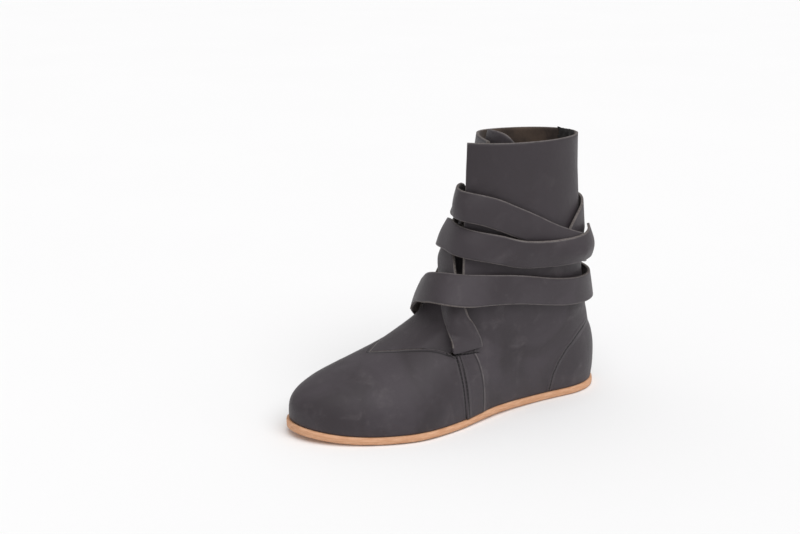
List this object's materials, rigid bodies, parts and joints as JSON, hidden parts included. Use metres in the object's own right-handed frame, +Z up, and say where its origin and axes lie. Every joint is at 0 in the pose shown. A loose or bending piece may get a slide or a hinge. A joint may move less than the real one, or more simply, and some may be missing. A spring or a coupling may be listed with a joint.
{
  "type": "ankle boot",
  "caption": "Flat leather ankle boot with a tall open shaft, a tongue under crossed front flaps, and long straps wound round the ankle.",
  "frame": {"origin": "on the floor, under the middle of the heel", "axes": "+X from heel to toe, +Y to the outer side of the foot (the left boot's left), +Z up"},
  "size_m": [0.255, 0.1017, 0.206],
  "materials": {
    "outsole": "natural vegetable-tanned sole leather, bare edge",
    "insole": "undyed leather, flesh side up",
    "upper": "waxed dark grey leather, matt, cut edges left raw",
    "tongue": "waxed dark grey leather, matt",
    "strap_lateral": "waxed dark grey leather, matt, cut edges left raw",
    "strap_medial": "waxed dark grey leather, matt, cut edges left raw"
  },
  "bodies": {
    "root": {"outsole": "outsole", "insole": "insole", "upper": "upper", "tongue": "tongue", "strap_lateral": "strap_lateral", "strap_medial": "strap_medial"}
  },
  "joints": []
}
